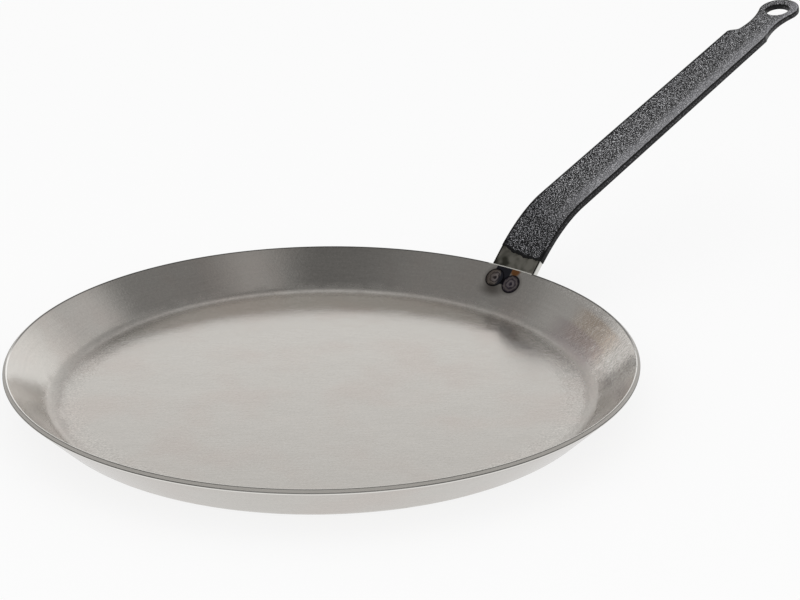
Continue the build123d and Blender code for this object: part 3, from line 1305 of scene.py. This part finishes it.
@dataclass(frozen=True)
class BareStripSteel:
    """Hot-rolled strip, left bare at the tang: dull olive grey, darker in clouds towards the left, with
    faint scratches up it, a painted shade line along each edge and a bright sheared right side that is
    partly a painted highlight."""

    steel: str = "#96938A"
    scale: str = "#4C4B43"
    # Painted shade lines along the edges
    shade_line: str = "#24231F"
    # Bright sheared metal, only on the right side, partly a painted highlight
    cut_and_highlight: str = "#DEDDD8"
    roughness: float = 0.34
    cloud: float = 9.0
    left_darkening: Fade = (-8.0, 14.0, -0.1, 0.14)
    scale_fade: Fade = (0.42, 0.66)

    # Scratches up the strip, about 0.5 mm wide: coarser than the real ones, so that they show
    scratches_per_mm: tuple[float, float, float] = (0.12, 2.0, 0.12)
    relief: float = 0.04

    # Bright cut on the right side, partly a painted highlight, and painted shade lines, by the distance in
    # from the strip's edge
    cut_and_highlight_fade: Fade = (0.35, 0.15)
    line_place: float = 0.7
    line_fade: Fade = (0.5, 0.3, 0.0, 0.9)
    left_line_fade: Fade = (1.3, 0.9, 0.0, 0.9)

    def material(self) -> bpy.types.Material:
        """Builds the material.

        Returns:
            The material.
        """
        material, node, mm = new_finish("bare_hot_rolled_strip")
        _, left, _ = node("SeparateXYZ", mm).node.outputs
        clouds = node("TexNoise", mm, 1.0 / self.cloud, 2.0)
        leftward = node("MapRange", left, *self.left_darkening)
        scaled = node("Math", clouds, leftward, operation="ADD")
        scaled = node("MapRange", scaled, *self.scale_fade, **SMOOTH)
        stroke = node("VectorMath", mm, self.scratches_per_mm, operation="MULTIPLY")
        scratches = node("TexNoise", stroke, 1.0, 1.0)
        inside = node("SeparateXYZ", node("UVMap", uv_map="edge"))
        # Bright cut only on the right side, partly a painted highlight; painted shade lines along the
        # edges, wider on the left
        on_left = node("Math", left, 0.0, operation="GREATER_THAN")
        cut_and_highlight = node("MapRange", inside, *self.cut_and_highlight_fade)
        cut_and_highlight = node("Math", cut_and_highlight, on_left, operation="SUBTRACT", use_clamp=True)
        shade_line = node("MapRange", gap_to(node, inside, self.line_place), *self.line_fade)
        left_line = node("MapRange", inside, *self.left_line_fade)
        left_line = node("Math", left_line, on_left, operation="MULTIPLY")
        shade_line = node("Math", shade_line, left_line, operation="MAXIMUM")
        coats = [(scaled, self.scale), (cut_and_highlight, self.cut_and_highlight), (shade_line, self.shade_line)]
        looks = {
            "Base Color": painted(node, linear_colour(self.steel), coats),
            "Metallic": 1.0,
            "Roughness": self.roughness,
            "Normal": node("Bump", named={"Distance": self.relief * MM, "Height": scratches}),
        }
        node("OutputMaterial", node("BsdfPrincipled", named=looks))
        return material


@dataclass(frozen=True)
class HammertoneEpoxy:
    """Baked epoxy powder on the handle.

    The eye sees near-black satin with a fine pebbled grain like salt and pepper, whose light crests
    are painted glints. Painted shade makes it darker round the bend, a painted sheen makes it greyer
    and smoother along its right side, with a painted highlight before that edge, and painted shade
    makes it black where it wraps round the strip's edges and along the masked end.
    """

    thickness: float
    pit: str = "#0C0C0E"
    # Pit tone under a painted sheen on the right side
    sheen_pit: str = "#66666A"
    # Painted glints on the pebbles' crests, darker round the bend as painted shade
    shaded_crest_glint: str = "#AAAAAE"
    lit_crest_glint: str = "#DCDCDF"
    # Painted highlight before the right edge
    edge_highlight: str = "#8E8E92"
    # Painted shade on the sides, and painted shade lines at the corners and along the masked end
    side: str = "#0C0C0E"
    shade_line: str = "#050506"
    roughness: float = 0.4
    gloss: float = 0.22

    # Pebbles of about 0.5 mm, bent out of line by a slower noise. They are drawn coarser than the
    # real ones, so that they show in a picture of the whole pan.
    pebble: float = 0.5
    pebble_fade: Fade = (0.585, 0.63)
    warp: float = 0.45
    warps_per_mm: float = 0.9
    relief: float = 0.05

    # Painted shade keeps the grain darker round the bend; a painted sheen turns it grey to the right
    bend_shade_fade: Fade = (168.0, 215.0)
    sheen_fade: Fade = (-2.0, -8.0, 0.0, 0.7)

    # Painted shade on the sides, a painted highlight before the right edge, and painted shade lines at the
    # corners and the masked end, mostly by the distance in from the edge
    edge_fade: Fade = (0.45, 0.2)
    side_shade_share: float = 0.8
    edge_highlight_place: float = 1.1
    edge_highlight_fade: Fade = (0.5, 0.2, 0.0, 0.7)
    corner_fade: Fade = (0.95, 0.6)
    left_line_fade: Fade = (1.4, 1.0, 0.0, 0.9)
    masked_fade: Fade = (162.0, 160.0)
    bead_raggedness: float = 3.0
    bead_fade: Fade = (0.3, -0.2)

    def material(self) -> bpy.types.Material:
        """Builds the material.

        Returns:
            The material.
        """
        material, node, mm = new_finish("hammertone_epoxy_powder")
        shift = node("TexNoise", mm, self.warps_per_mm).node.outputs["Color"]
        moved = node("VectorMath", shift, (self.warp,) * 3, mm, operation="MULTIPLY_ADD")
        grain = node("TexNoise", moved, 1.0 / self.pebble, 1.0)
        pebbles = node("MapRange", grain, *self.pebble_fade, **SMOOTH)
        ahead, left, _ = node("SeparateXYZ", mm).node.outputs
        inside, lift, _ = node("SeparateXYZ", node("UVMap", uv_map="edge")).node.outputs
        at_edge = node("MapRange", inside, *self.edge_fade)
        # Painted shade round the bend, lifted beyond it; painted sheen to the right
        lit_beyond_bend = node("MapRange", ahead, *self.bend_shade_fade, **SMOOTH)
        sheen_and_shade = node("MapRange", left, *self.sheen_fade, **SMOOTH)
        for share in (lit_beyond_bend, node("Math", 1.0, at_edge, operation="SUBTRACT")):
            sheen_and_shade = node("Math", sheen_and_shade, share, operation="MULTIPLY")
        crest_glint = painted(node, linear_colour(self.shaded_crest_glint), [(lit_beyond_bend, self.lit_crest_glint)])
        pit = painted(node, linear_colour(self.pit), [(sheen_and_shade, self.sheen_pit)])
        grained = node("Mix", pebbles, pit, crest_glint, data_type="RGBA")
        # Painted highlight before the right edge
        edge_highlight = node("MapRange", gap_to(node, inside, self.edge_highlight_place), *self.edge_highlight_fade)
        edge_highlight = node("Math", edge_highlight, sheen_and_shade, operation="MULTIPLY")
        # Painted shade on the sides, and painted shade lines at the corners, the left edge and the masked
        # end
        side_shade = node("Math", at_edge, self.side_shade_share, operation="MULTIPLY")
        half = self.thickness / 2
        corner = node("MapRange", gap_to(node, lift, -half), *(half - reach for reach in self.corner_fade))
        corner = node("Math", corner, at_edge, operation="MULTIPLY")
        on_left = node("Math", left, 0.0, operation="GREATER_THAN")
        left_line = node("MapRange", inside, *self.left_line_fade)
        left_line = node("Math", left_line, on_left, operation="MULTIPLY")
        corner = node("Math", corner, left_line, operation="MAXIMUM")
        masked = node("MapRange", ahead, *self.masked_fade)
        inward = node("Math", grain, -self.bead_raggedness, inside, operation="MULTIPLY_ADD")
        bead = node("MapRange", inward, *self.bead_fade)
        bead = node("Math", bead, masked, operation="MULTIPLY")
        coats = [(edge_highlight, self.edge_highlight), (side_shade, self.side), (corner, self.shade_line), (bead, self.shade_line)]
        looks = {
            "Base Color": painted(node, grained, coats),
            "Roughness": self.roughness,
            "Specular IOR Level": self.gloss,
            "Normal": node("Bump", named={"Distance": self.relief * MM, "Height": pebbles}),
        }
        node("OutputMaterial", node("BsdfPrincipled", named=looks))
        return material


@dataclass(frozen=True)
class WeldSteel:
    """Steel worked by the electrode: dark round marks with faint lighter rings, browner on the left
    one and violet on the right one, and blue-black where the two run together."""

    roughness: float = 0.36
    cloud: float = 1.6
    relief: float = 0.06
    violet: str = "#433A4C"
    brown: str = "#6B6058"
    blued: str = "#37373E"
    ring_shift: Fade = (0.2, 0.8, -0.14, 0.14)
    violet_fade: Fade = (1.2, 0.2, 0.0, 0.4)
    brown_fade: Fade = (5.0, 8.0, 0.0, 0.45)
    blued_fades: tuple[Fade, Fade] = ((4.8, 3.4), (0.2, 0.8))
    bands: tuple[tuple[float, str], ...] = (
        (0.0, "#2A262B"),
        (0.15, "#332F34"),
        (0.27, "#A29A98"),
        (0.42, "#898181"),
        (0.54, "#393536"),
        (0.68, "#8F8782"),
        (0.82, "#766F69"),
        (0.94, "#161417"),
    )

    def material(self) -> bpy.types.Material:
        """Builds the material.

        Returns:
            The material.
        """
        material, node, mm = new_finish("heat_tinted_weld_steel")
        ring = node("SeparateXYZ", node("UVMap", uv_map="rings"))
        clouds = node("TexNoise", mm, 1.0 / self.cloud, 3.0)
        shift = node("MapRange", clouds, *self.ring_shift)
        ramp = node("ValToRGB", node("Math", ring, shift, operation="ADD"))
        set_bands(ramp.node, [(spot, linear_colour(tone)) for spot, tone in self.bands])
        _, left, _ = node("SeparateXYZ", mm).node.outputs
        on_right = node("MapRange", left, *self.violet_fade)
        on_left = node("MapRange", left, *self.brown_fade)
        sides = (node("MapRange", left, *fade) for fade in self.blued_fades)
        between = node("Math", *sides, operation="MULTIPLY")
        coats = [(on_right, self.violet), (on_left, self.brown), (between, self.blued)]
        looks = {
            "Base Color": painted(node, ramp, coats),
            "Metallic": 1.0,
            "Roughness": self.roughness,
            "Normal": node("Bump", named={"Distance": self.relief * MM, "Height": clouds}),
        }
        node("OutputMaterial", node("BsdfPrincipled", named=looks))
        return material


# Studio


@dataclass(frozen=True)
class Softbox:
    """One soft lamp: where it stands, seen from the pan, and how bright its face is."""

    heading: float
    elevation: float
    distance: float
    width: float
    depth: float
    watts: float


@dataclass(frozen=True)
class Panel:
    """One soft-edged round panel of the room that the pan mirrors: where its middle is, the angles
    at which it starts and ends fading, and its level."""

    heading: float
    elevation: float
    core: float
    edge: float
    level: float


@dataclass
class Studio:
    """Pale floor, soft light and the camera of the photograph. The floor's radius, the lamps' sizes
    and distances, and the camera's clip distances are in metres."""

    floor_radius: float = 4.0
    floor_points: int = 128
    floor_drop: float = 0.1
    floor_tone: str = "#F4F4F4"
    floor_glow: float = 0.82
    floor_strength: float = 0.98
    mirrored_floor: float = 0.82
    backdrop_strength: float = 1.01
    sweep_strength: float = 0.95
    ceiling_lean: float = 14.5
    ceiling: tuple[tuple[float, float], ...] = (
        (0.0, 0.15),
        (12.0, 0.18),
        (24.0, 0.25),
        (50.0, 0.25),
        (62.0, 0.34),
        (68.0, 0.5),
        (74.0, 0.78),
        (78.0, 0.76),
        (82.0, 0.91),
        (90.0, 1.02),
    )
    panels: tuple[Panel, ...] = (
        Panel(heading=90.0, elevation=61.0, core=4.0, edge=22.0, level=0.75),
        Panel(heading=-41.0, elevation=65.5, core=1.0, edge=15.0, level=0.42),
        Panel(heading=142.0, elevation=25.0, core=8.0, edge=24.0, level=0.42),
        Panel(heading=32.0, elevation=31.0, core=5.0, edge=19.0, level=0.63),
    )
    lens: float = 85.0
    sensor: float = 36.0
    clip: tuple[float, float] = (0.05, 50.0)
    azimuth: float = -49.89
    elevation: float = 20.85
    distance: float = 905.25
    shift_right: float = 36.48
    shift_up: float = 43.6
    softboxes: tuple[Softbox, ...] = (
        Softbox(heading=-90.0, elevation=22.0, distance=2.4, width=3.0, depth=0.8, watts=14.0),
    )

    def camera_axes(self) -> tuple[np.ndarray, np.ndarray, np.ndarray]:
        """The camera's axes.

        Returns:
            Its right, up and backward directions.
        """
        turn, rise = np.radians(self.azimuth), np.radians(self.elevation)
        right = np.array([np.cos(turn), np.sin(turn), 0.0])
        back = np.array([np.sin(turn) * np.cos(rise), -np.cos(turn) * np.cos(rise), np.sin(rise)])
        return right, np.cross(back, right), back

    def direction(self, heading: float, elevation: float) -> np.ndarray:
        """Direction in which a lamp or panel lies.

        Args:
            heading: Angle from the camera's right, seen from above.
            elevation: Angle above the level.

        Returns:
            The unit direction.
        """
        turn, rise = np.radians(heading + self.azimuth), np.radians(elevation)
        return np.array([np.cos(turn) * np.cos(rise), np.sin(turn) * np.cos(rise), np.sin(rise)])

    def add_camera(self) -> None:
        """Adds the camera: a distance back from the pan's middle, moved right and up."""
        right, up, back = self.camera_axes()
        place = self.distance * back + self.shift_right * right + self.shift_up * up
        data = bpy.data.cameras.new("photo_camera")
        data.lens = self.lens
        data.sensor_width = self.sensor
        data.clip_start, data.clip_end = self.clip
        camera = bpy.data.objects.new("photo_camera", data)
        matrix = Matrix.Identity(4)
        for column, axis in enumerate((right, up, back, place * MM)):
            for row in range(3):
                matrix[row][column] = axis[row]
        camera.matrix_world = matrix
        bpy.context.scene.collection.objects.link(camera)
        bpy.context.scene.camera = camera

    def add_floor(self) -> None:
        """Adds a wide round floor just under the pan. Its diffuse white keeps the pan's shadow; its
        own glow fills most of it for the camera and all of it for reflections in the metal."""
        turn = np.linspace(0.0, 2 * np.pi, self.floor_points, endpoint=False)
        edge = np.stack([np.cos(turn), np.sin(turn), 0 * turn], axis=1) * self.floor_radius
        edge[:, 2] = -self.floor_drop * MM
        mesh = bpy.data.meshes.new("studio_floor")
        mesh.from_pydata(edge, [], [list(range(len(edge)))])
        floor = bpy.data.objects.new("studio_floor", mesh)
        bpy.context.scene.collection.objects.link(floor)
        material = bpy.data.materials.new("matt_white_sweep")
        material.use_nodes = True
        material.node_tree.nodes.clear()
        node = partial(add_node, material.node_tree)
        path = node("LightPath").node.outputs
        camera = path["Is Camera Ray"]
        level = node("Mix", camera, self.mirrored_floor, self.floor_strength)
        share = node("Math", camera, self.floor_glow, operation="MULTIPLY")
        for ray in ("Is Glossy Ray", "Is Transmission Ray"):
            share = node("Math", share, path[ray], operation="MAXIMUM")
        matt = node("BsdfDiffuse", linear_colour(self.floor_tone))
        glow = node("Emission", named={"Strength": level})
        node("OutputMaterial", node("MixShader", share, matt, glow))
        mesh.materials.append(material)

    def add_world(self) -> None:
        """White for the camera and even light on matt surfaces. What metal and gloss mirror is a bright
        sweep all round and a dark round ceiling, whose middle leans from straight up towards the
        camera."""
        world = bpy.data.worlds.new("studio_world")
        bpy.context.scene.world = world
        world.use_nodes = True
        world.node_tree.nodes.clear()
        node = partial(add_node, world.node_tree)
        direction = node("TexCoord").node.outputs["Generated"]

        def angle_to(towards: Iterable[float]) -> Any:
            """Angle between where a ray goes and a direction: the arc cosine of their product.

            Args:
                towards: Unit direction.

            Returns:
                The angle in radians.
            """
            unit = tuple(float(part) for part in towards)
            facing = node("VectorMath", direction, unit, operation="DOT_PRODUCT")
            return node("Math", facing, operation="ARCCOSINE")

        turn, lean = np.radians(self.azimuth), np.radians(self.ceiling_lean)
        middle = (np.sin(turn) * np.sin(lean), -np.cos(turn) * np.sin(lean), np.cos(lean))
        share = node("Math", angle_to(middle), float(np.pi / 2), operation="DIVIDE")
        level = node("ValToRGB", share)
        set_bands(level.node, [(spot / 90.0, (grey, grey, grey, 1.0)) for spot, grey in self.ceiling])
        for panel in self.panels:
            angle = angle_to(self.direction(panel.heading, panel.elevation))
            edge, core = float(np.radians(panel.edge)), float(np.radians(panel.core))
            level = node("Mix", node("MapRange", angle, edge, core, **SMOOTH), level, panel.level)
        path = node("LightPath").node.outputs
        mirrored = node("Mix", path["Is Glossy Ray"], self.sweep_strength, level)
        seen = node("Mix", path["Is Camera Ray"], mirrored, self.backdrop_strength)
        node("OutputWorld", node("Background", (1.0, 1.0, 1.0, 1.0), seen))

    def add_softboxes(self) -> None:
        """Adds the soft lamps."""
        for number, box in enumerate(self.softboxes, 1):
            towards = self.direction(box.heading, box.elevation)
            data = bpy.data.lights.new(f"softbox_{number}", "AREA")
            data.shape = "RECTANGLE"
            data.size = box.width
            data.size_y = box.depth
            data.energy = box.watts
            lamp = bpy.data.objects.new(f"softbox_{number}", data)
            lamp.location = towards * box.distance
            lamp.rotation_euler = Vector(towards).to_track_quat("Z", "Y").to_euler()
            lamp.visible_camera = False
            bpy.context.scene.collection.objects.link(lamp)


def main() -> None:
    """Builds the pan piece by piece, then the studio."""
    logging.basicConfig(level=logging.INFO, format="%(message)s")
    bpy.context.scene.view_settings.view_transform = "Standard"
    dish = Dish()
    handle = Handle(dish)
    sanded = SandedSteel(dish)
    epoxy = HammertoneEpoxy(handle.thickness)
    add_piece(dish.mesh(), ("pan_body",), sanded.material())
    strip = handle.mesh("handle_steel", masked=False, grow=0.0)
    add_piece(strip, ("handle_strip",), BareStripSteel().material())
    skin = handle.mesh("handle_skin", masked=True, grow=handle.skin)
    add_piece(skin, ("handle_coating",), epoxy.material())
    weld_finish = WeldSteel().material()
    names = (("weld_marks_left", "spot_weld_left"), ("weld_marks_right", "spot_weld_right"))
    for (name, node), (side, down) in zip(names, sanded.marks):
        add_piece(SpotWeld(dish, handle, side, down).mesh(name), (node,), weld_finish)
    studio = Studio()
    studio.add_world()
    studio.add_floor()
    studio.add_softboxes()
    studio.add_camera()


if __name__ == "__main__":
    main()
